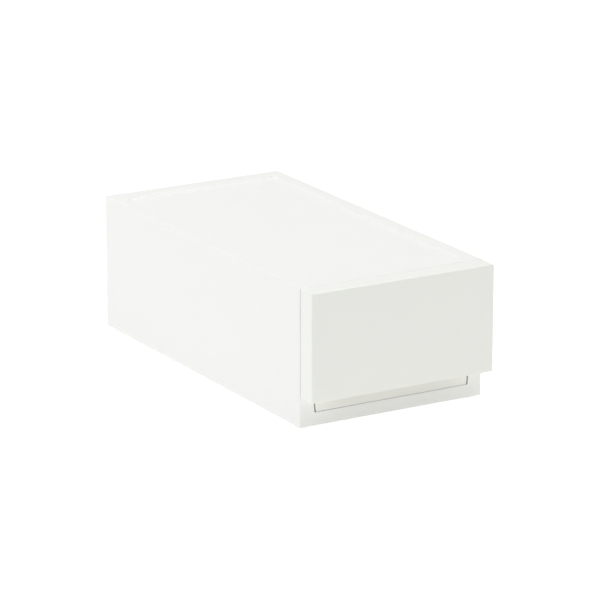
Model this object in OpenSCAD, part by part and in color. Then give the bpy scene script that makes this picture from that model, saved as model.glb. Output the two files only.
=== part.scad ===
// Stackable drawer box: a moulded case with a recessed top and a plinth, and a drawer
// made of a tapered tray and a hollow overlay front with a finger pull in its underside.
// +X is to the right, +Y to the back, +Z up. The origin is the bottom centre of the whole box.

/* [Case] */
// Width of the case
case_w = 170; // [150:1:220]
// Depth of the case without the drawer front
case_d = 328; // [260:1:420]
// Height of the case, from the lower edge of its skirt to the top of its rim
case_h = 114.5; // [98:0.5:160]
// Thickness of the case walls, deck and floor
case_wall = 2.2; // [1.8:0.1:3]
// Height of the plinth, from the lower edge of the skirt to the floor the drawer runs over
plinth_h = 11; // [10:0.5:14]
// Radius of the upright edges of the case
case_edge_r = 1.5; // [1:0.1:3]
// Radius of the upper edges of the case and of the front's face
top_edge_r = 1.4; // [0.6:0.1:1.6]

/* [Mouth] */
// Width of each front post at floor level
post_w = 13.6; // [11:0.1:18]
// Lean of the guide walls and of the tray, in degrees from upright
lean = 6; // [4:0.5:6.5]
// Thickness of the leaning guide walls
guide_wall = 2; // [1.6:0.1:2.4]
// Height at which the guide walls end in a small step, below the lower face of the deck
step_drop = 22; // [18:1:30]

/* [Stacking top] */
// Width of the rim along the two sides
rim_side = 12; // [9:0.5:16]
// Width of the rim along the front
rim_front = 11; // [8:0.5:16]
// Width of the rim along the back
rim_back = 16; // [12:0.5:24]
// Depth of the recess inside the rim
recess_depth = 1.6; // [1.2:0.1:1.7]
// Width of the slope that leads from the rim down into the recess
recess_run = 2.2; // [1.6:0.1:3]
// Corner radius of the recess at the rim
recess_r = 5; // [4:0.5:8]

/* [Feet] */
// Height by which the feet lift the skirt off the table
foot_h = 2; // [1.8:0.1:2.2]
// Outer diameter of the foot bosses
boss_dia = 10.4; // [10:0.1:12]
// Diameter of the foot pads
pad_dia = 7.4; // [6:0.2:7.4]
// Clearance of the feet at the lower end of the slopes in a box below
stack_gap = 0.3; // [0.2:0.1:0.8]

/* [Ribs] */
// Thickness of the ribs under the floor
rib_t = 1.6; // [1.2:0.1:2.2]
// Number of cross ribs under the floor
cross_ribs = 9; // [6:1:12]
// Height by which the ribs stay clear of the skirt's lower edge
rib_clear = 1; // [0.5:0.5:3]

/* [Drawer tray] */
// Thickness of the tray walls and floor
tray_wall = 2; // [1.6:0.1:2.6]
// Height of the tray's rim below the deck of the case
tray_drop = 9.6; // [7:0.2:20]
// Gap between the tray and the leaning guide walls
side_gap = 0.8; // [0.6:0.1:1.4]
// Gap under the lower edge of the tray's front wall
sill_gap = 0.3; // [0.3:0.1:1.2]
// Gap between the runner ribs and the floor of the case
runner_gap = 0.3; // [0.2:0.05:0.5]
// Height of the runner ribs under the tray
runner_h = 3.3; // [2.8:0.1:5]
// Width of the rim flange around the tray
flange_w = 1.8; // [1:0.1:2.2]
// Radius of the tray's rear corners, at its rim
tray_corner_r = 20; // [18:1:30]
// Outer radius between the tray's floor and its walls
tray_floor_r = 5; // [4:0.5:6]
// Depth of the tray that stays inside the case when the drawer is open
held_depth = 76; // [66:1:130]

/* [Drawer front] */
// Thickness of the overlay front
front_t = 16.9; // [13:0.1:20]
// Gap between the case and the overlay front
front_gap = 0.8; // [0.6:0.1:3]
// Height of the front's lower edge above the skirt's lower edge
front_bottom = 25; // [21:0.5:30]
// Amount by which each side of the front stays inside the case's side
front_inset = 0.3; // [0:0.1:0.8]
// Wall of the hollow front
front_wall = 2.4; // [2:0.1:3]
// Distance between the guide walls and the frame of ribs behind the front
seat_margin = 13.5; // [9:0.5:20]
// Height of the finger pull inside the front
pull_h = 25; // [20:0.5:28]

/* [Hidden] */
$fn = 64;
over = 1;            // overshoot of a cut beyond the face it leaves
weld = 0.4;          // depth to which ribs and bosses sink into the wall that carries them
graze = 3;           // angle at which the round along the tray's floor meets the floor and the walls

// Case
case_x = case_w / 2;
case_in_x = case_x - case_wall;
case_in_y = case_d - case_wall;
rim_under = case_h - case_wall;
recess_z = case_h - recess_depth;
deck_under = recess_z - case_wall;
deck_grow = case_wall * norm([recess_run, recess_depth]) / recess_depth;
recess_x = case_x - rim_side;
recess_y0 = rim_front;
recess_y1 = case_d - rim_back;
floor_under = plinth_h - case_wall;
step_z = deck_under - step_drop;
hollow_top = step_z - case_wall;
floor_rib_x = 45;
web_rise = 34;       // height to which the cross ribs rise above the floor, inside the side walls

// Feet, the tabs behind the back feet and the notches in the back rim that take them
foot_inset = recess_run + stack_gap + boss_dia / 2;
foot_x = recess_x - foot_inset;
foot_y0 = recess_y0 + foot_inset;
foot_y1 = recess_y1 - foot_inset;
boss_drop = foot_h - 0.4;
boss_collar = 1.4;   // width of the collar that joins a boss to the ribs round it
pad_gap = 0.1;
pad_depth = 6;
tab_w = 8;
tab_gap = 0.3;
notch_cut = 0.3;     // depth to which a notch cuts into the rim behind the slope

// Tray
tray_top = deck_under - tray_drop;
tray_bottom = plinth_h + runner_gap + runner_h;
sill_z = plinth_h + sill_gap;
plate_y = 0.2;       // the front wall stands this far behind the front plane of the case
plate_t = 2.2;
plate_inset = 0.2;   // each side of the front wall's lower part stays this far inside the tray's side
back_gap = 0.3;      // gap behind the tray when the drawer is shut
tray_top_x = guide_x(tray_top) - side_gap;
tray_back_y = case_in_y - back_gap - flange_w;
corner_x = tray_top_x - tray_corner_r;
corner_y = tray_back_y - tray_corner_r;
wall_run = tray_wall / cos(lean);
flange_t = 2.2;
runner_x = guide_x(plinth_h) - 19.4;
runner_w = 2.4;
gusset_t = 1.6;      // thickness of the gussets behind the ears and the catches
travel = tray_back_y - held_depth;
ear_w = 18;
ear_gap = 0.9;       // gap between the ears and the deck
ear_x = corner_x - ear_w;
ear_r = 5;

// Drawer stop: two clips in the floor and two catches under the tray
clip_x = 24;
clip_w = 7.6;
clip_d = 4.6;
clip_fit = 0.2;
clip_y = 9;
clip_slit = 1.6;
clip_top = tray_bottom - 0.4;
clip_flange = [13, 9, 1.6];
barb = 0.7;
stop_gap = 0.2;      // gap left between clip and catch at the end of the travel
catch_y = clip_y + clip_d + travel + stop_gap;
catch_t = 2.5;
catch_x0 = clip_x - clip_w / 2 - 1;
catch_x1 = clip_x + clip_w / 2 + 1;
catch_run = 5;       // length of the gussets behind a catch

// Overlay front
front_x = case_x - front_inset;
front_y0 = -front_gap - front_t;
front_y1 = -front_gap;
front_in_y = front_y0 + front_wall;
front_rib = 1.4;
front_rib_depth = 7;
seat_wall = 1.8;
seat_z0 = front_bottom + pull_h;
seat_z1 = tray_top - 4;
seat_x = guide_x(seat_z0) - seat_margin;
leg_x = seat_x - 0.2;
face_rib_x = seat_x - 24;
pull_x = leg_x - seat_wall - 2;
pull_r = 5;
hook_w = 10;
hook_t = 1.8;
hook_x = seat_x - 16;
hook_fit = 0.4;
hook_barb = 1.3;
hook_len = plate_t + 3.4;

// Whole box
mouth_y = -(case_d + front_t + front_gap) / 2 + front_t + front_gap;

// Half width of the space between the leaning guide walls at height z
function guide_x(z) = case_x - post_w + (z - plinth_h) * tan(lean);

// ---- Helpers --------------------------------------------------------------------------------

// Puts a piece that is drawn from the front plane of the case and its skirt into the box's frame
module in_place() translate([0, mouth_y, foot_h]) children();

// Extrudes a drawing of X and Z from y0 to y1
module along_y(y0, y1) translate([0, y1, 0]) rotate([90, 0, 0]) linear_extrude(y1 - y0) children();

// Extrudes a drawing of Y and Z from x0 to x1
module along_x(x0, x1) translate([x0, 0, 0]) rotate([90, 0, 90]) linear_extrude(x1 - x0) children();

// Draws its children on the right and, mirrored, on the left
module both_sides() {
    children();
    mirror([1, 0, 0]) children();
}

// Rectangle between two corners
module rect(low, high) translate(low) square(high - low);

// Box between two corners
module block(low, high) translate(low) cube(high - low);

// Rectangle between two corners with rounded corners
module round_rect(low, high, r) {
    rect([low[0] + r, low[1]], [high[0] - r, high[1]]);
    rect([low[0], low[1] + r], [high[0], high[1] - r]);
    for (x = [low[0] + r, high[0] - r], y = [low[1] + r, high[1] - r])
        translate([x, y]) circle(r);
}

// ---- Case -----------------------------------------------------------------------------------

// Outer form: upright edges and upper edges are rounded, the lower edge is sharp
module case_outer() {
    intersection() {
        linear_extrude(case_h) round_rect([-case_x, 0], [case_x, case_d], case_edge_r);
        along_y(-over, case_d + over) round_rect([-case_x, -case_h], [case_x, case_h], top_edge_r);
        along_x(-case_x - over, case_x + over) round_rect([0, -case_h], [case_d, case_h], top_edge_r);
    }
}

// Section of the space inside: leaning guide walls, a small step, then the full width
module mouth_section() {
    polygon([
        [-guide_x(plinth_h), plinth_h], [guide_x(plinth_h), plinth_h],
        [guide_x(step_z), step_z], [case_in_x, step_z],
        [case_in_x, rim_under], [-case_in_x, rim_under],
        [-case_in_x, step_z], [-guide_x(step_z), step_z]
    ]);
}

// Region inside a slope of the recess, from s_min out. It starts at height z0 and is wider by grow.
module slope_profile(s_min, z0, grow) {
    steep = recess_run / recess_depth;
    s_rim = recess_r + grow;
    polygon([
        [s_min, z0], [s_rim - (case_h - z0) * steep, z0],
        [s_rim + over * steep, case_h + over], [s_min, case_h + over]
    ]);
}

// Recess in the top from height z0 up, with sloping sides and conical corners, drawn larger by grow
module recess(z0, grow) {
    y0 = recess_y0 + recess_r;
    y1 = recess_y1 - recess_r;
    both_sides() {
        translate([recess_x - recess_r, y1, 0]) {
            along_y(y0 - y1, 0) slope_profile(-recess_x, z0, grow);
            along_x(-recess_x, 0) slope_profile(-over, z0, grow);
            rotate_extrude(angle = 90) slope_profile(0, z0, grow);
        }
        translate([recess_x - recess_r, y0, 0]) mirror([0, 1, 0]) {
            along_x(-recess_x, 0) slope_profile(-over, z0, grow);
            rotate_extrude(angle = 90) slope_profile(0, z0, grow);
        }
    }
}

// Section of the hollow underneath: below the floor and up between guide walls and side walls
module underside_section() {
    polygon([
        [-case_in_x, -over], [case_in_x, -over],
        [case_in_x, hollow_top], [guide_x(hollow_top) + guide_wall, hollow_top],
        [guide_x(floor_under) + guide_wall, floor_under],
        [-guide_x(floor_under) - guide_wall, floor_under],
        [-guide_x(hollow_top) - guide_wall, hollow_top], [-case_in_x, hollow_top]
    ]);
}

// Grid of ribs under the floor. The cross ribs run up into the hollow side walls.
module floor_ribs() {
    rib_pitch = case_d / (cross_ribs + 1);
    for (i = [1 : cross_ribs])
        block([-case_x, i * rib_pitch - rib_t / 2, rib_clear],
              [case_x, i * rib_pitch + rib_t / 2, plinth_h + web_rise]);
    block([-rib_t / 2, 0, rib_clear], [rib_t / 2, case_d, plinth_h]);
    both_sides() {
        block([floor_rib_x, 0, rib_clear], [floor_rib_x + rib_t, case_d, plinth_h]);
        block([guide_x(floor_under), 0, rib_clear],
              [guide_x(floor_under) + guide_wall, case_d, plinth_h]);
    }
}

// Boss for a foot pad. Its collar stays inside the skirt.
module foot_boss(y) {
    translate([foot_x, y, -boss_drop]) cylinder(d = boss_dia, h = floor_under + boss_drop + weld);
    translate([foot_x, y, rib_clear])
        cylinder(d = boss_dia + 2 * boss_collar, h = floor_under - rib_clear + weld);
}

// Hole in a boss, which takes the pad's plug
module foot_bore(y) {
    translate([foot_x, y, -boss_drop - over]) cylinder(d = pad_dia + 2 * pad_gap, h = pad_depth + over);
}

// Tab behind a back foot, which stands in a notch of the box below
module foot_tab() {
    block([foot_x - tab_w / 2, foot_y1, -boss_drop],
          [foot_x + tab_w / 2, recess_y1 - tab_gap, floor_under + weld]);
}

// Notch in the slope along the back rim, which takes a tab of the box above
module tab_notch() {
    block([foot_x - tab_w / 2 - tab_gap, recess_y1 - recess_run - over, recess_z],
          [foot_x + tab_w / 2 + tab_gap, recess_y1 + notch_cut, case_h + over]);
}

// Slot in the floor for a stop clip
module clip_slot() {
    block([clip_x - clip_w / 2 - clip_fit, clip_y - clip_fit, floor_under - over],
          [clip_x + clip_w / 2 + clip_fit, clip_y + clip_d + clip_fit, plinth_h + over]);
}

// Outer form with the space for the drawer, the recess and the hollow underneath taken out
module case_body() {
    difference() {
        case_outer();
        difference() {
            along_y(-over, case_in_y) mouth_section();
            recess(deck_under, deck_grow);
        }
        recess(recess_z, 0);
        difference() {
            along_y(case_wall, case_in_y) underside_section();
            floor_ribs();
        }
    }
}

module case_shell() {
    color("#F3F3EF") in_place() difference() {
        union() {
            case_body();
            both_sides() {
                foot_boss(foot_y0);
                foot_boss(foot_y1);
                foot_tab();
            }
        }
        both_sides() {
            foot_bore(foot_y0);
            foot_bore(foot_y1);
            tab_notch();
            clip_slot();
        }
    }
}

// Soft plug with a rounded rim, pressed into a boss. side is 1 on the right and -1 on the left.
module foot_pad(side, y) {
    rim = 0.3;
    r = pad_dia / 2;
    color("#D9D9D4") in_place()
        translate([side * foot_x, y, -foot_h]) rotate_extrude() {
            rect([0, rim], [r, foot_h - boss_drop + pad_depth]);
            rect([0, 0], [r - rim, rim]);
            translate([r - rim, rim]) intersection() {
                circle(rim);
                rect([0, -rim], [rim, 0]);
            }
        }
}

module foot_pad_front_left() foot_pad(-1, foot_y0);
module foot_pad_front_right() foot_pad(1, foot_y0);
module foot_pad_back_left() foot_pad(-1, foot_y1);
module foot_pad_back_right() foot_pad(1, foot_y1);

// ---- Drawer stop ----------------------------------------------------------------------------

// Clip with a split stem. Its flange lies under the floor and its two legs stand up behind the mouth.
module stop_clip() {
    leg_x = clip_w / 2;
    barb_z = plinth_h + 0.2;
    color("#E9E9E4") {
        translate([clip_x - clip_flange[0] / 2, clip_y + clip_d / 2 - clip_flange[1] / 2,
                   floor_under - clip_flange[2]]) cube(clip_flange);
        translate([clip_x, 0, 0]) along_y(clip_y, clip_y + clip_d) both_sides()
            polygon([
                [clip_slit / 2, floor_under - weld], [leg_x, floor_under - weld],
                [leg_x, barb_z], [leg_x + barb, barb_z],
                [leg_x + barb, barb_z + 0.5], [leg_x - 0.6, clip_top],
                [clip_slit / 2, clip_top]
            ]);
    }
}

module stop_clip_right() in_place() stop_clip();
module stop_clip_left() in_place() mirror([1, 0, 0]) stop_clip();

// ---- Drawer tray ----------------------------------------------------------------------------

// The tray's body, front wall and flange are all drawn from the axis of a rear corner, so that the
// straight stretches run into the corner without a step. s is the distance out from that axis.

// Point at which the bottom at z0 would meet a wall that leans out to s_top at height z1
function sharp_corner(s_top, z0, z1) = [s_top - (z1 - z0) * tan(lean), z0];

// Centre of the round between that bottom and that wall. Its arc meets both at the small angle graze.
function round_centre(s_top, z0, z1, r) =
    [sharp_corner(s_top, z0, z1)[0] + r * cos(graze) * (sin(lean) - 1) / cos(lean), z0 + r * cos(graze)];

// Region from s_min out to the leaning wall, with the rounded corner
module lean_profile(s_min, s_top, z0, z1, r) {
    corner = sharp_corner(s_top, z0, z1);
    centre = round_centre(s_top, z0, z1, r);
    difference() {
        polygon([[s_min, z0], corner, [s_top, z1], [s_min, z1]]);
        difference() {
            polygon([
                centre, centre + [0, -2 * r], corner + [r, -r], centre + 2 * r * [cos(lean), -sin(lean)]
            ]);
            translate(centre) circle(r);
        }
    }
}

// Tapered body: leaning side walls and back wall, which meet in conical corners. inset shrinks it.
module tray_body(inset, z0, z1, r, y0) {
    s_top = tray_corner_r + (z1 - tray_top) * tan(lean) - inset;
    both_sides() translate([corner_x, corner_y, 0]) {
        along_y(y0 - corner_y, 0) lean_profile(-corner_x - over, s_top, z0, z1, r);
        rotate_extrude(angle = 90) lean_profile(0, s_top, z0, z1, r);
        along_x(-corner_x - over, 0) lean_profile(-over, s_top, z0, z1, r);
    }
}

// Lower part of the front wall. It hangs below the tray's floor and shows in the notch of the plinth.
module tray_plate() {
    top = tray_bottom + 2 * tray_floor_r;
    s_top = tray_corner_r - plate_inset - (tray_top - top) * tan(lean);
    both_sides() translate([corner_x, 0, 0]) along_y(plate_y, plate_y + plate_t) polygon([
        [-corner_x - over, sill_z], [s_top - (top - sill_z) * tan(lean), sill_z],
        [s_top, top], [-corner_x - over, top]
    ]);
}

// Flange around the rim of the sides and back
module tray_flange() {
    outer = tray_corner_r + flange_w;
    both_sides() translate([corner_x, corner_y, tray_top - flange_t]) {
        block([-corner_x - over, plate_y - corner_y, 0], [outer, 0, flange_t]);
        block([-corner_x - over, -over, 0], [0, outer, flange_t]);
        rotate_extrude(angle = 90) square([outer, flange_t]);
    }
}

// Ear that rises from the back wall to just under the deck and keeps the open drawer from tipping
module tray_ear() {
    ear_top = deck_under - ear_gap;
    along_y(tray_back_y - tray_wall + 0.2, tray_back_y) {
        rect([ear_x, tray_top - flange_t], [ear_x + ear_w, ear_top - ear_r]);
        rect([ear_x + ear_r, tray_top - flange_t], [ear_x + ear_w - ear_r, ear_top]);
        for (x = [ear_x + ear_r, ear_x + ear_w - ear_r])
            translate([x, ear_top - ear_r]) circle(ear_r);
    }
    for (x = [ear_x + ear_r, ear_x + ear_w - ear_r])
        along_x(x - gusset_t / 2, x + gusset_t / 2) polygon([
            [tray_back_y - weld, tray_top - flange_t], [tray_back_y + flange_w, tray_top - flange_t],
            [tray_back_y + flange_w, tray_top], [tray_back_y - weld, ear_top - ear_r]
        ]);
}

// Runner rib and stop catch under the floor of the tray
module tray_runner() {
    block([runner_x - runner_w / 2, plate_y, tray_bottom - runner_h],
          [runner_x + runner_w / 2, corner_y + 2, tray_bottom + weld]);
    block([catch_x0, catch_y, sill_z], [catch_x1, catch_y + catch_t, tray_bottom + weld]);
    for (x = [catch_x0 + gusset_t, catch_x1 - gusset_t])
        along_x(x - gusset_t / 2, x + gusset_t / 2) polygon([
            [catch_y + catch_t - weld, sill_z + weld],
            [catch_y + catch_t + catch_run, tray_bottom + weld],
            [catch_y + catch_t - weld, tray_bottom + weld]
        ]);
}

// Slot in the front wall for a hook of the overlay front, whose barb points up or down
module hook_slot(z) {
    block([hook_x - hook_w / 2 - hook_fit, plate_y - over, z - hook_t / 2 - hook_barb - hook_fit],
          [hook_x + hook_w / 2 + hook_fit, plate_y + plate_t + over, z + hook_t / 2 + hook_barb + hook_fit]);
}

module drawer_tray() {
    color("#EFEFEA") in_place() {
        difference() {
            union() {
                tray_body(0, tray_bottom, tray_top, tray_floor_r, plate_y);
                tray_flange();
                tray_plate();
            }
            tray_body(wall_run, tray_bottom + tray_wall, tray_top + over, tray_floor_r - 1.5,
                      plate_y + plate_t);
            both_sides() {
                hook_slot(hook_z0());
                hook_slot(hook_z1());
            }
        }
        both_sides() {
            tray_ear();
            tray_runner();
        }
    }
}

// ---- Drawer front ---------------------------------------------------------------------------

// Heights of the lower and the upper pair of hooks
function hook_z0() = seat_z0 + seat_wall + hook_t / 2 + 3;
function hook_z1() = seat_z1 - seat_wall - hook_t / 2 - 3;

// Outer form: the edges round the face are rounded, those at the back are sharp
module front_outer() {
    back = front_y1 + 2 * case_edge_r;
    intersection() {
        translate([0, 0, front_bottom - over]) linear_extrude(case_h - front_bottom + 2 * over)
            round_rect([-front_x, front_y0], [front_x, back], case_edge_r);
        along_x(-front_x - over, front_x + over)
            round_rect([front_y0, front_bottom], [back, case_h], top_edge_r);
        along_y(front_y0 - over, front_y1)
            round_rect([-front_x, front_bottom], [front_x, case_h], top_edge_r);
    }
}

// Space inside the front, open to the back
module front_hollow() {
    block([-front_x + front_wall, front_in_y, front_bottom + front_wall],
          [front_x - front_wall, front_y1 + over, case_h - front_wall]);
}

// Opening in the underside that the fingers reach up through
module pull_opening() {
    translate([0, 0, front_bottom - over]) linear_extrude(front_wall + 2 * over)
        round_rect([-pull_x, front_in_y], [pull_x, front_y1 + 2 * pull_r], pull_r);
}

// Frame of ribs inside the front. It seats on the tray's front wall and closes off the finger pull.
module seat_frame() {
    difference() {
        block([-seat_x, front_in_y - weld, seat_z0], [seat_x, plate_y, seat_z1]);
        block([-seat_x + seat_wall, front_in_y - over, seat_z0 + seat_wall],
              [seat_x - seat_wall, plate_y + over, seat_z1 - seat_wall]);
    }
    both_sides() {
        // Leg beside the finger pull
        block([leg_x - seat_wall, front_in_y - weld, front_bottom + front_wall - weld],
              [leg_x, front_y1, seat_z0 + weld]);
        // Rail and web that carry each hook
        for (z = [hook_z0(), hook_z1()])
            block([hook_x - hook_w / 2, front_in_y - weld, z - hook_t / 2],
                  [hook_x + hook_w / 2, plate_y + hook_len, z + hook_t / 2]);
    }
}

// Shallow ribs that stiffen the face, from its frame to its edges
module face_ribs() {
    rib_y = front_in_y + front_rib_depth;
    for (x = [-face_rib_x, 0, face_rib_x]) {
        block([x - front_rib / 2, front_in_y - weld, seat_z0 + weld],
              [x + front_rib / 2, rib_y, seat_z1 - weld]);
        block([x - front_rib / 2, front_in_y - weld, seat_z1 - weld],
              [x + front_rib / 2, rib_y, case_h - front_wall + weld]);
    }
    mid_z = (seat_z0 + seat_z1) / 2;
    both_sides() {
        for (z = [seat_z0 + seat_wall / 2, mid_z, seat_z1 - seat_wall / 2])
            block([seat_x - weld, front_in_y - weld, z - front_rib / 2],
                  [front_x - front_wall + weld, rib_y, z + front_rib / 2]);
    }
    block([-seat_x + weld, front_in_y - weld, mid_z - front_rib / 2],
          [seat_x - weld, rib_y, mid_z + front_rib / 2]);
}

// Barb of a hook behind the tray's front wall. up is 1 or -1.
module hook_barb_at(z, up) {
    tip = plate_y + hook_len;
    hold = plate_y + plate_t + 0.2;
    along_x(hook_x - hook_w / 2, hook_x + hook_w / 2) polygon([
        [hold, z], [hold, z + up * (hook_t / 2 + hook_barb)],
        [hold + 0.8, z + up * (hook_t / 2 + hook_barb)], [tip, z + up * hook_t / 2], [tip, z]
    ]);
}

module drawer_front() {
    color("#E8E9E3") in_place() {
        difference() {
            front_outer();
            front_hollow();
            pull_opening();
        }
        seat_frame();
        face_ribs();
        both_sides() {
            hook_barb_at(hook_z0(), -1);
            hook_barb_at(hook_z1(), 1);
        }
    }
}

case_shell();
drawer_tray();
drawer_front();
stop_clip_left();
stop_clip_right();
foot_pad_front_left();
foot_pad_front_right();
foot_pad_back_left();
foot_pad_back_right();
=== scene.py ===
"""Looks of a white stackable drawer box: moulded shells, finishes, studio and camera.

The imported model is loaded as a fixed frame. Each sub-assembly below turns its nodes into shells whose
edges are rounded the way their moulds leave them, dresses them in the plastic they are moulded from, and
rides them on the body they belong to. Lengths are in metres unless a name ends in _mm.
"""

import logging
import math
from dataclasses import dataclass, field
from enum import Enum

import bmesh
import bpy
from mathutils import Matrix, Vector


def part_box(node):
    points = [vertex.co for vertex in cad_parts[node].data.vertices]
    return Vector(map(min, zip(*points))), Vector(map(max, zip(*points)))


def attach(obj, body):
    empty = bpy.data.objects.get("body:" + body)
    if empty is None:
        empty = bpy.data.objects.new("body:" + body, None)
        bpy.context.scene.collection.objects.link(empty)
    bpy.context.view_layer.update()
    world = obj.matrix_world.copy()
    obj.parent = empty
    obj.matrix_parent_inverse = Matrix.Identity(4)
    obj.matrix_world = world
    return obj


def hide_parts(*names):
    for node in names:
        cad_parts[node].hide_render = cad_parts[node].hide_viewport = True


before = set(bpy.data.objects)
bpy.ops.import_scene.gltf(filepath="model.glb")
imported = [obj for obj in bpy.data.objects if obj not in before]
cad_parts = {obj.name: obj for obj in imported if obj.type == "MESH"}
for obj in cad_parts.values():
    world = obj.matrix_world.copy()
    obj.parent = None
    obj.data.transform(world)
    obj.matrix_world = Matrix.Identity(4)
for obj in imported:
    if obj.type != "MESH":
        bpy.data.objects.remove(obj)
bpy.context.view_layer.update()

MM = 0.001
# Numbers of the sockets of a mix node that mixes colours: its two inputs and its output.
MIX_FIRST, MIX_SECOND, MIX_RESULT = 6, 7, 2
log = logging.getLogger("drawer_box")


class Body(Enum):
    """Rigid bodies of the box."""

    CASE = "case"
    DRAWER = "drawer"


class Slot(Enum):
    """Material slots of the record."""

    CASE = "case"
    TRAY = "tray"
    FRONT = "front"
    CLIP = "clip"


def linear(hex_colour: str) -> tuple[float, float, float, float]:
    """Turns an sRGB hex colour into the linear colour a shader takes.

    Args:
        hex_colour: Colour as "#RRGGBB".

    Returns:
        Red, green, blue and an alpha of 1, as linear values.
    """
    values = [int(hex_colour[i:i + 2], 16) / 255 for i in (1, 3, 5)]
    curve = [v / 12.92 if v <= 0.04045 else ((v + 0.055) / 1.055) ** 2.4 for v in values]
    return (*curve, 1.0)


def add_node(tree: bpy.types.NodeTree, kind: str, settings: dict | None = None,
             links: dict | None = None) -> bpy.types.Node:
    """Adds a node with its settings and what is linked into it.

    Args:
        tree: Node tree that the node goes into.
        kind: Blender's name for the type of node.
        settings: Names of properties, or names or numbers of inputs, with their values.
        links: Names or numbers of inputs, with the output socket that each takes its value from.

    Returns:
        The new node.
    """
    node = tree.nodes.new(kind)
    for name, value in (settings or {}).items():
        if isinstance(name, str) and hasattr(node, name):
            setattr(node, name, value)
        else:
            node.inputs[name].default_value = value
    for name, output in (links or {}).items():
        tree.links.new(output, node.inputs[name])
    return node


def add_material(name: str) -> bpy.types.Material:
    """Adds a material with an empty node tree.

    Args:
        name: Name of the real material and how it was made.

    Returns:
        The material.
    """
    made = bpy.data.materials.new(name)
    made.use_nodes = True
    made.node_tree.nodes.clear()
    return made


def add_object(name: str, data: bpy.types.ID) -> bpy.types.Object:
    """Adds an object to the scene.

    Args:
        name: Name of the object.
        data: Its mesh, light or camera.

    Returns:
        The object, at the origin.
    """
    made = bpy.data.objects.new(name, data)
    bpy.context.scene.collection.objects.link(made)
    return made


# ---- Finishes -------------------------------------------------------------------------------------


@dataclass(frozen=True)
class MouldedPlastic:
    """Injection-moulded plastic: an even colour under a satin skin that the mould's grain breaks up.

    Attributes:
        name: Name of the real material and how it was made.
        tint: Colour of the plastic, as sRGB hex. In the tray and the front it is darkened with painted
            shade.
        roughness: Microscopic roughness of its skin.
        roughness_swing: How far the roughness wanders along the flow of the melt.
        ior: Index of refraction.
        grain_mm: Size of the grain that spark erosion left in the mould. The real one is a fifth of
            this, too fine to show, so it is drawn coarser and as shallow as the eye reads it.
        grain_depth_mm: Height of that grain.
        grain_detail: Octaves of finer grain in it.
        grain_fineness: Height of each octave against the one before.
        flow_mm: Size of the slow waves in colour and gloss that the melt leaves.
        flow_swing: How far the colour wanders, as a share of the tint.
        glow: Share of the light that wanders below the skin.
        glow_mm: How far it wanders.
        glow_spread: Share of that distance for red, green and blue light.
    """

    name: str
    tint: str
    roughness: float
    roughness_swing: float = 0.05
    ior: float = 1.49
    grain_mm: float = 0.5
    grain_depth_mm: float = 0.002
    grain_detail: float = 3.0
    grain_fineness: float = 0.6
    flow_mm: float = 60.0
    flow_swing: float = 0.012
    glow: float = 0.35
    glow_mm: float = 1.5
    glow_spread: tuple[float, float, float] = (1.0, 1.0, 0.9)

    def material(self) -> bpy.types.Material:
        """Builds the node material.

        Returns:
            The finished material.
        """
        made = add_material(self.name)
        tree = made.node_tree
        place = add_node(tree, "ShaderNodeTexCoord").outputs["Object"]
        flow = add_node(tree, "ShaderNodeTexNoise", {"Scale": 1 / (self.flow_mm * MM)},
                        {"Vector": place}).outputs["Fac"]
        red, green, blue, alpha = linear(self.tint)
        dim = 1 - self.flow_swing
        colour = add_node(tree, "ShaderNodeMix",
                          {"data_type": "RGBA", MIX_FIRST: (red * dim, green * dim, blue * dim, alpha),
                           MIX_SECOND: (red, green, blue, alpha)}, {"Factor": flow})
        gloss = add_node(tree, "ShaderNodeMapRange",
                         {"To Min": self.roughness - self.roughness_swing,
                          "To Max": self.roughness + self.roughness_swing}, {"Value": flow})
        grain = add_node(tree, "ShaderNodeTexNoise",
                         {"Scale": 1 / (self.grain_mm * MM), "Detail": self.grain_detail,
                          "Roughness": self.grain_fineness},
                         {"Vector": place}).outputs["Fac"]
        bump = add_node(tree, "ShaderNodeBump", {"Distance": self.grain_depth_mm * MM}, {"Height": grain})
        skin = add_node(tree, "ShaderNodeBsdfPrincipled",
                        {"IOR": self.ior, "Subsurface Weight": self.glow,
                         "Subsurface Radius": self.glow_spread, "Subsurface Scale": self.glow_mm * MM},
                        {"Base Color": colour.outputs[MIX_RESULT], "Roughness": gloss.outputs["Result"],
                         "Normal": bump.outputs["Normal"]})
        add_node(tree, "ShaderNodeOutputMaterial", {}, {"Surface": skin.outputs["BSDF"]})
        return made


# Polypropylene, moulded white in a sparked mould: satin and milky, with soft edges that glow a little.
CASE_PLASTIC = MouldedPlastic("polypropylene_moulded_case", "#F1F1EE", 0.42)
# The same plastic in the tray, from a smoother mould: a touch glossier, so the inside looks clean. Its
# tint is darker and yellower than the case's: painted shade, the shade under the overhanging front.
TRAY_PLASTIC_PAINTED_SHADE = MouldedPlastic("polypropylene_moulded_tray_painted_shade", "#EEEEE8", 0.36, grain_depth_mm=0.0012)
# The front comes from a mould of its own: the same satin with the least waviness. Its tint is a little
# darker and yellower than the case's: painted shade of its face.
FRONT_PLASTIC_PAINTED_SHADE = MouldedPlastic("polypropylene_moulded_front_painted_shade", "#F0F1EC", 0.4, flow_swing=0.008)
# Acetal, moulded small and hard: slick and a little greyer than the box, with no glow.
CLIP_PLASTIC = MouldedPlastic("acetal_moulded_clip", "#E6E6E2", 0.28, grain_mm=0.3,
                              grain_depth_mm=0.0008, flow_mm=6.0, glow=0.0)
# Thermoplastic elastomer, moulded soft: a matte light grey that reads as rubber beside the plastic.
PAD_RUBBER = MouldedPlastic("elastomer_moulded_pad", "#CDCDC8", 0.78, grain_mm=0.3, grain_depth_mm=0.006,
                            flow_mm=4.0, glow=0.0)


# ---- Mouldings ------------------------------------------------------------------------------------


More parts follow.
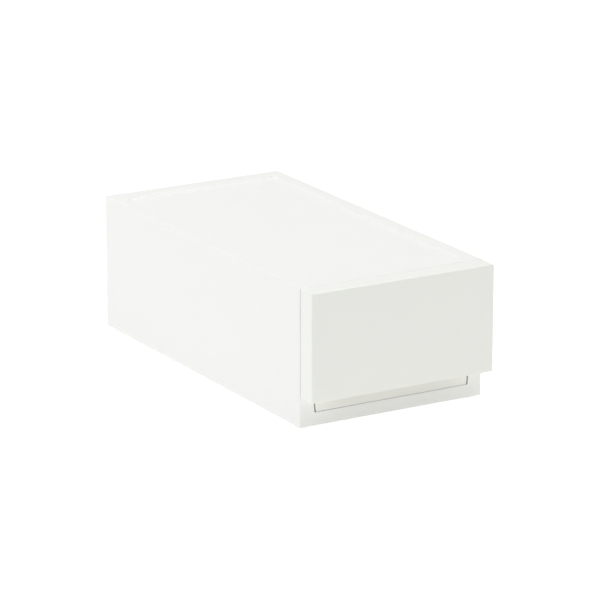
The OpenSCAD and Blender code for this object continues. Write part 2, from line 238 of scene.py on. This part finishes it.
@dataclass
class Moulding:
    """Pieces from one mould: shells of their nodes, with the edges rounded as the mould leaves them.

    Attributes:
        nodes: CAD nodes the shells stand for.
        body: Body they ride on.
        slot: Material slot of the record. It is not used.
        finish: Plastic they are moulded from.
        edge_mm: How far the round of an ordinary edge reaches along the faces beside it.
        widest_mm: The furthest any round of the piece reaches.
        near_mm: How close to a face of the piece's box a place counts as on it.
        steps: Faces across a round.
        sharp_deg: Least angle between two faces that makes an edge.
        even_deg: Greatest angle between two triangles that counts as one flat face.
        merge_mm: Greatest distance at which two corners count as one.
        fillets: Whether inner corners are rounded as well.
    """

    nodes: tuple[str, ...]
    body: Body
    slot: Slot
    finish: MouldedPlastic
    edge_mm: float = 0.3
    widest_mm: float = 0.3
    near_mm: float = 0.05
    steps: int = 3
    sharp_deg: float = 25.0
    even_deg: float = 0.3
    merge_mm: float = 0.001
    fillets: bool = False

    def round_mm(self, place: Vector, low: Vector, high: Vector) -> float:
        """Gives the reach of the round on the edge at a place.

        Args:
            place: Middle of the edge.
            low: Lowest corner of the piece.
            high: Highest corner of the piece.

        Returns:
            The reach in millimetres, no more than widest_mm.
        """
        return self.edge_mm

    def reshape(self, shell: bmesh.types.BMesh, low: Vector, high: Vector) -> None:
        """Changes the form of a shell before its edges are rounded. An ordinary piece keeps its form.

        Args:
            shell: Mesh of the shell, in metres.
            low: Lowest corner of the piece.
            high: Highest corner of the piece.
        """

    def join_flats(self, shell: bmesh.types.BMesh) -> None:
        """Makes one face of the triangles on each flat, so that only real edges are left.

        Args:
            shell: Mesh of the shell, in metres.
        """
        even = math.radians(self.even_deg)
        bmesh.ops.remove_doubles(shell, verts=shell.verts, dist=self.merge_mm * MM)
        flat = [edge for edge in shell.edges if edge.is_manifold and edge.calc_face_angle(0.0) < even]
        bmesh.ops.beautify_fill(shell, faces=shell.faces, edges=flat, method="ANGLE")
        bmesh.ops.dissolve_limit(shell, angle_limit=even, verts=shell.verts, edges=shell.edges)

    def mark_edges(self, shell: bmesh.types.BMesh, low: Vector, high: Vector) -> None:
        """Gives each edge the weight of its round, and leaves one without a round sharp.

        Args:
            shell: Mesh of the shell, in metres.
            low: Lowest corner of the piece.
            high: Highest corner of the piece.
        """
        weight = shell.edges.layers.float.new("bevel_weight_edge")
        for edge in shell.edges:
            if not edge.is_manifold or edge.calc_face_angle(0.0) < math.radians(self.sharp_deg):
                continue
            if edge.is_convex or self.fillets:
                middle = (edge.verts[0].co + edge.verts[1].co) / 2
                edge[weight] = self.round_mm(middle, low, high) / self.widest_mm
            edge.smooth = edge[weight] > 0
        for face in shell.faces:
            face.smooth = True

    def add_rounds(self, piece: bpy.types.Object) -> None:
        """Rounds the marked edges of a piece, and keeps its flat faces flat.

        Args:
            piece: The shell.
        """
        rounds = piece.modifiers.new("mould rounds", "BEVEL")
        rounds.limit_method = "WEIGHT"
        rounds.offset_type = "OFFSET"
        rounds.width = self.widest_mm * MM
        rounds.segments = self.steps
        rounds.use_clamp_overlap = False
        normals = piece.modifiers.new("flat faces stay flat", "WEIGHTED_NORMAL")
        normals.keep_sharp = True

    def build(self, node: str) -> bpy.types.Object:
        """Builds the shell of one node in the node's place.

        Args:
            node: Name of the CAD node.

        Returns:
            The shell's object.
        """
        low, high = (Vector(corner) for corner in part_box(node))
        shell = bmesh.new()
        shell.from_mesh(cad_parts[node].data)
        self.join_flats(shell)
        self.reshape(shell, low, high)
        self.mark_edges(shell, low, high)
        mesh = bpy.data.meshes.new(node + "_shell")
        shell.to_mesh(mesh)
        shell.free()
        piece = add_object(node + "_shell", mesh)
        self.add_rounds(piece)
        return piece

    def dress(self, piece: bpy.types.Object, node: str, plastic: bpy.types.Material) -> None:
        """Gives a shell its finish and puts it on its body in the node's stead.

        Args:
            piece: The shell.
            node: Name of the CAD node it stands for.
            plastic: Material of the finish.
        """
        piece.data.materials.append(plastic)
        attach(piece, self.body.value)
        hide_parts(node)

    def make(self) -> list[bpy.types.Object]:
        """Builds and dresses every piece.

        Returns:
            The finished pieces.
        """
        plastic = self.finish.material()
        made = []
        for node in self.nodes:
            piece = self.build(node)
            self.dress(piece, node, plastic)
            made.append(piece)
        return made


@dataclass
class CaseShell(Moulding):
    """The case: soft slopes round the recess in its top, crisp edges where the tray's front closes it.

    Attributes:
        recess_mm: Depth of the recess, whose slopes run out in rounds at the rim and the floor.
        rim_mm: Least width of the rim round it.
        mouth_round_mm: Reach of the round on the edges of the mouth.
        sill_round_mm: Reach of the round on the edges along the tray's front wall.
        sill_rise_mm: Height of the places up to which those edges show.
        skirt_mm: Height of the skirt's lower edge over the feet.
        notch_mm: Inner and outer end of a stacking notch, across the case.
        notch_inset_mm: Distance of a notch's back wall from the back of the case.
        notch_lip_mm: How far the upper edge of that wall leans back.
        notch_foot_mm: How far its foot comes forward.
    """

    nodes: tuple[str, ...] = ("case_shell",)
    body: Body = Body.CASE
    slot: Slot = Slot.CASE
    finish: MouldedPlastic = CASE_PLASTIC
    widest_mm: float = 0.5
    fillets: bool = True
    recess_mm: float = 1.6
    rim_mm: float = 8.0
    mouth_round_mm: float = 0.5
    sill_round_mm: float = 0.06
    sill_rise_mm: float = 26.0
    skirt_mm: float = 1.6
    notch_mm: tuple[float, float] = (61.0, 69.6)
    notch_inset_mm: float = 15.7
    notch_lip_mm: float = 1.2
    notch_foot_mm: float = 0.2

    def reshape(self, shell: bmesh.types.BMesh, low: Vector, high: Vector) -> None:
        """Leans the back wall of each stacking notch, so it draws well from the mould and shows softly.

        Args:
            shell: Mesh of the shell, in metres.
            low: Lowest corner of the piece.
            high: Highest corner of the piece.
        """
        near = self.near_mm * MM
        inner, outer = (end * MM for end in self.notch_mm)
        wall = high.y - self.notch_inset_mm * MM
        for vert in shell.verts:
            across, lower = abs(vert.co.x), high.z - vert.co.z
            if inner - near < across < outer + near and abs(vert.co.y - wall) < near:
                if lower < near:
                    vert.co.y += self.notch_lip_mm * MM
                elif abs(lower - self.recess_mm * MM) < near:
                    vert.co.y -= self.notch_foot_mm * MM

    def round_mm(self, place: Vector, low: Vector, high: Vector) -> float:
        """Gives the top, skirt, mouth and sill their rounds, and leaves the inside as it is.

        Args:
            place: Middle of the edge.
            low: Lowest corner of the piece.
            high: Highest corner of the piece.

        Returns:
            The reach in millimetres, no more than widest_mm.
        """
        near = self.near_mm * MM
        if place.z > high.z - self.recess_mm * MM - near:
            return self.edge_mm if high.x - abs(place.x) > self.rim_mm * MM else 0.0
        if place.z < low.z + self.skirt_mm * MM + near:
            on_side = high.x - abs(place.x) < near or place.y > high.y - near or place.y < low.y + near
            return self.edge_mm if on_side else 0.0
        if place.y < low.y + near:
            return self.sill_round_mm if place.z < self.sill_rise_mm * MM else self.mouth_round_mm
        return 0.0


@dataclass
class DrawerTray(Moulding):
    """The tray: rounded on its rim and tabs, crisp where the outline of its front wall shows.

    Attributes:
        rim_mm: Height below the rim's upper face at which the flange starts.
        tab_mm: Height of the tabs over the rim.
        wall_mm: Thickness of the front wall.
        wall_round_mm: Reach of the round on the front wall's outline.
        wall_drop_mm: How far that wall's lower edge stands below its place in the CAD form.
    """

    nodes: tuple[str, ...] = ("drawer_tray",)
    body: Body = Body.DRAWER
    slot: Slot = Slot.TRAY
    finish: MouldedPlastic = TRAY_PLASTIC_PAINTED_SHADE
    edge_mm: float = 0.12
    rim_mm: float = 2.2
    tab_mm: float = 8.7
    wall_mm: float = 2.2
    wall_round_mm: float = 0.06
    wall_drop_mm: float = 0.1

    def reshape(self, shell: bmesh.types.BMesh, low: Vector, high: Vector) -> None:
        """Brings the front wall's lower edge down to the narrow gap that such mouldings have there.

        Args:
            shell: Mesh of the shell, in metres.
            low: Lowest corner of the piece.
            high: Highest corner of the piece.
        """
        for vert in shell.verts:
            in_wall = vert.co.y < low.y + (self.wall_mm + self.near_mm) * MM
            if in_wall and vert.co.z < low.z + self.near_mm * MM:
                vert.co.z -= self.wall_drop_mm * MM

    def round_mm(self, place: Vector, low: Vector, high: Vector) -> float:
        """Gives the rim, the tabs and the outline of the front wall their rounds.

        Args:
            place: Middle of the edge.
            low: Lowest corner of the piece.
            high: Highest corner of the piece.

        Returns:
            The reach in millimetres, no more than widest_mm.
        """
        if place.y < low.y + self.near_mm * MM:
            return self.wall_round_mm
        if place.z > high.z - (self.tab_mm + self.rim_mm + self.near_mm) * MM:
            return self.edge_mm
        return 0.0


@dataclass
class DrawerFront(Moulding):
    """The overlay front: soft round its face and in the finger pull, crisp along its outer lower edge.

    Attributes:
        pull_mm: Half the width of the finger pull.
        pull_round_mm: Reach of the round on its lower edges.
        under_mm: Reach of the round that the CAD form has along the outer lower edge.
        crisp_mm: Reach of the round that the shell has there.
    """

    nodes: tuple[str, ...] = ("drawer_front",)
    body: Body = Body.DRAWER
    slot: Slot = Slot.FRONT
    finish: MouldedPlastic = FRONT_PLASTIC_PAINTED_SHADE
    widest_mm: float = 0.8
    pull_mm: float = 58.0
    pull_round_mm: float = 0.8
    under_mm: float = 1.4
    crisp_mm: float = 0.3

    @staticmethod
    def rise(inward: float, reach: float) -> float:
        """Gives the height of a round over the lower face, some way in from the upright face beside it."""
        left = max(reach - inward, 0.0)
        return reach - math.sqrt(reach * reach - left * left)

    def reshape(self, shell: bmesh.types.BMesh, low: Vector, high: Vector) -> None:
        """Draws the round along the outer lower edge in to a crisp one.

        Args:
            shell: Mesh of the shell, in metres.
            low: Lowest corner of the piece.
            high: Highest corner of the piece.
        """
        for vert in shell.verts:
            inward = max(min(high.x - abs(vert.co.x), vert.co.y - low.y), 0.0)
            on_round = low.z + self.rise(inward, self.under_mm * MM)
            if inward < self.under_mm * MM and abs(vert.co.z - on_round) < self.near_mm * MM:
                vert.co.z = low.z + self.rise(inward, self.crisp_mm * MM)

    def round_mm(self, place: Vector, low: Vector, high: Vector) -> float:
        """Gives the lower edges of the finger pull their round, and leaves the rest as it is.

        Args:
            place: Middle of the edge.
            low: Lowest corner of the piece.
            high: Highest corner of the piece.

        Returns:
            The reach in millimetres, no more than widest_mm.
        """
        near = self.near_mm * MM
        behind_face = place.y > low.y + self.under_mm * MM
        in_pull = behind_face and abs(place.x) < self.pull_mm * MM + near and place.z < low.z + near
        return self.pull_round_mm if in_pull else 0.0


@dataclass
class StopClips(Moulding):
    """The two clips in the floor that stop the drawer, small and crisp."""

    nodes: tuple[str, ...] = ("stop_clip_left", "stop_clip_right")
    body: Body = Body.CASE
    slot: Slot = Slot.CLIP
    finish: MouldedPlastic = CLIP_PLASTIC
    edge_mm: float = 0.12
    widest_mm: float = 0.12


@dataclass
class FootPads:
    """The four soft plugs under the case. Their nodes have the true shape, so they stay and are dressed.

    Attributes:
        nodes: CAD nodes of the pads.
        finish: Rubber they are moulded from.
    """

    nodes: tuple[str, ...] = tuple(
        f"foot_pad_{end}_{side}" for end in ("front", "back") for side in ("left", "right"))
    finish: MouldedPlastic = PAD_RUBBER

    def make(self) -> list[bpy.types.Object]:
        """Dresses every pad.

        Returns:
            The pads.
        """
        rubber = self.finish.material()
        pads = [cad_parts[node] for node in self.nodes]
        for pad in pads:
            for place in pad.material_slots:
                place.material = rubber
        return pads


# ---- Studio ---------------------------------------------------------------------------------------


@dataclass(frozen=True)
class Softbox:
    """A square soft light that looks at the middle of the floor.

    Attributes:
        name: Its name.
        place: Where it stands.
        side: Length of its sides.
        watts: Its power.
        colour: Its colour, as sRGB hex.
    """

    name: str
    place: tuple[float, float, float]
    side: float
    watts: float
    colour: str

    def light(self) -> None:
        """Adds the light to the scene."""
        data = bpy.data.lights.new(self.name, "AREA")
        data.shape = "SQUARE"
        data.size = self.side
        data.energy = self.watts
        data.color = linear(self.colour)[:3]
        lamp = add_object(self.name, data)
        lamp.location = self.place
        lamp.rotation_euler = Vector(self.place).to_track_quat("Z", "Y").to_euler()


@dataclass(frozen=True)
class OpalTable:
    """Opal acrylic sheet lit from below: an even white that fills the shade under the box.

    Attributes:
        name: Name of the real material and how it was made.
        half: Half the length of its sides.
        albedo: Share of the light from above that it gives back.
        glow: Radiance of the light from below.
        glow_colour: Colour of that light, as sRGB hex.
        cloud_mm: Size of the faint clouds in the sheet.
        cloud_detail: Octaves of smaller clouds in them.
        cloud_swing: How far they change its albedo.
    """

    name: str = "acrylic_cast_opal"
    half: float = 6.0
    albedo: float = 0.5
    glow: float = 0.748
    glow_colour: str = "#FEFEFF"
    cloud_mm: float = 400.0
    cloud_detail: float = 1.0
    cloud_swing: float = 0.02

    def material(self) -> bpy.types.Material:
        """Builds the node material.

        Returns:
            The finished material.
        """
        made = add_material(self.name)
        tree = made.node_tree
        place = add_node(tree, "ShaderNodeTexCoord").outputs["Object"]
        cloud = add_node(tree, "ShaderNodeTexNoise",
                         {"Scale": 1 / (self.cloud_mm * MM), "Detail": self.cloud_detail},
                         {"Vector": place}).outputs["Fac"]
        low, high = self.albedo - self.cloud_swing, self.albedo + self.cloud_swing
        sheet = add_node(tree, "ShaderNodeMix",
                         {"data_type": "RGBA", MIX_FIRST: (low, low, low, 1),
                          MIX_SECOND: (high, high, high, 1)}, {"Factor": cloud})
        skin = add_node(tree, "ShaderNodeBsdfPrincipled",
                        {"Roughness": 1.0, "Specular IOR Level": 0.0, "Emission Strength": self.glow,
                         "Emission Color": linear(self.glow_colour)},
                        {"Base Color": sheet.outputs[MIX_RESULT]})
        add_node(tree, "ShaderNodeOutputMaterial", {}, {"Surface": skin.outputs["BSDF"]})
        return made

    def lay(self) -> None:
        """Lays the sheet under the box."""
        half = self.half
        mesh = bpy.data.meshes.new("table")
        mesh.from_pydata([(-half, -half, 0), (half, -half, 0), (half, half, 0), (-half, half, 0)],
                         [], [(0, 1, 2, 3)])
        mesh.materials.append(self.material())
        add_object("table", mesh)


@dataclass(frozen=True)
class Studio:
    """Pale table, soft light from all round, two softboxes overhead, and the camera.

    Attributes:
        focal_px: Focal length in pixels of the picture.
        frame_px: Width and height of the picture.
        sensor_mm: Width of the camera's sensor.
        camera_place: Where the camera stands.
        azimuth_deg: Turn of its view from the Y axis.
        elevation_deg: Height of its view over the floor.
        room: Radiance of the room.
        room_colour: Colour of the room's light, as sRGB hex.
        table: The table.
        softboxes: The softboxes.
    """

    focal_px: float = 3860.0
    frame_px: float = 600.0
    sensor_mm: float = 36.0
    camera_place: tuple[float, float, float] = (-1.54801, -2.64756, 0.96239)
    azimuth_deg: float = -30.411
    elevation_deg: float = 16.478
    room: float = 0.48
    room_colour: str = "#FFFFFA"
    table: OpalTable = OpalTable()
    softboxes: tuple[Softbox, ...] = (Softbox("left softbox", (-0.9, 0.4, 2.1), 1.2, 22.4, "#F6F8FF"),
                                      Softbox("right softbox", (0.6, -0.3, 2.2), 1.2, 15.2, "#FFFEFE"))

    def add_camera(self) -> None:
        """Adds the camera, level and looking along its azimuth and elevation."""
        data = bpy.data.cameras.new("camera")
        data.sensor_width = self.sensor_mm
        data.lens = self.focal_px / self.frame_px * self.sensor_mm
        camera = add_object("camera", data)
        turn, rise = math.radians(self.azimuth_deg), math.radians(self.elevation_deg)
        back = Vector((math.sin(turn) * math.cos(rise), -math.cos(turn) * math.cos(rise), math.sin(rise)))
        camera.location = self.camera_place
        camera.rotation_euler = back.to_track_quat("Z", "Y").to_euler()
        bpy.context.scene.camera = camera

    def add_room(self) -> None:
        """Adds the even light of the room."""
        room = bpy.data.worlds.new("studio")
        room.use_nodes = True
        sky = room.node_tree.nodes["Background"]
        sky.inputs["Color"].default_value = linear(self.room_colour)
        sky.inputs["Strength"].default_value = self.room
        bpy.context.scene.world = room

    def set_up(self) -> None:
        """Sets up camera, table and lights, and shows white as white."""
        self.add_camera()
        self.add_room()
        self.table.lay()
        for softbox in self.softboxes:
            softbox.light()
        bpy.context.scene.view_settings.view_transform = "Standard"


# ---- Whole box ------------------------------------------------------------------------------------


@dataclass
class DrawerBox:
    """The whole box.

    Attributes:
        parts: Its sub-assemblies, from the case to the drawer's front.
    """

    parts: list[Moulding | FootPads] = field(default_factory=lambda: [
        CaseShell(), FootPads(), StopClips(), DrawerTray(), DrawerFront()])

    def make(self) -> None:
        """Makes every sub-assembly and reports its pieces."""
        for part in self.parts:
            for piece in part.make():
                log.info("%s: %s in %s", type(part).__name__, piece.name, part.finish.name)


def main() -> None:
    """Builds the studio and the box."""
    logging.basicConfig(level=logging.INFO, format="%(name)s: %(message)s")
    Studio().set_up()
    DrawerBox().make()


if __name__ == "__main__":
    main()
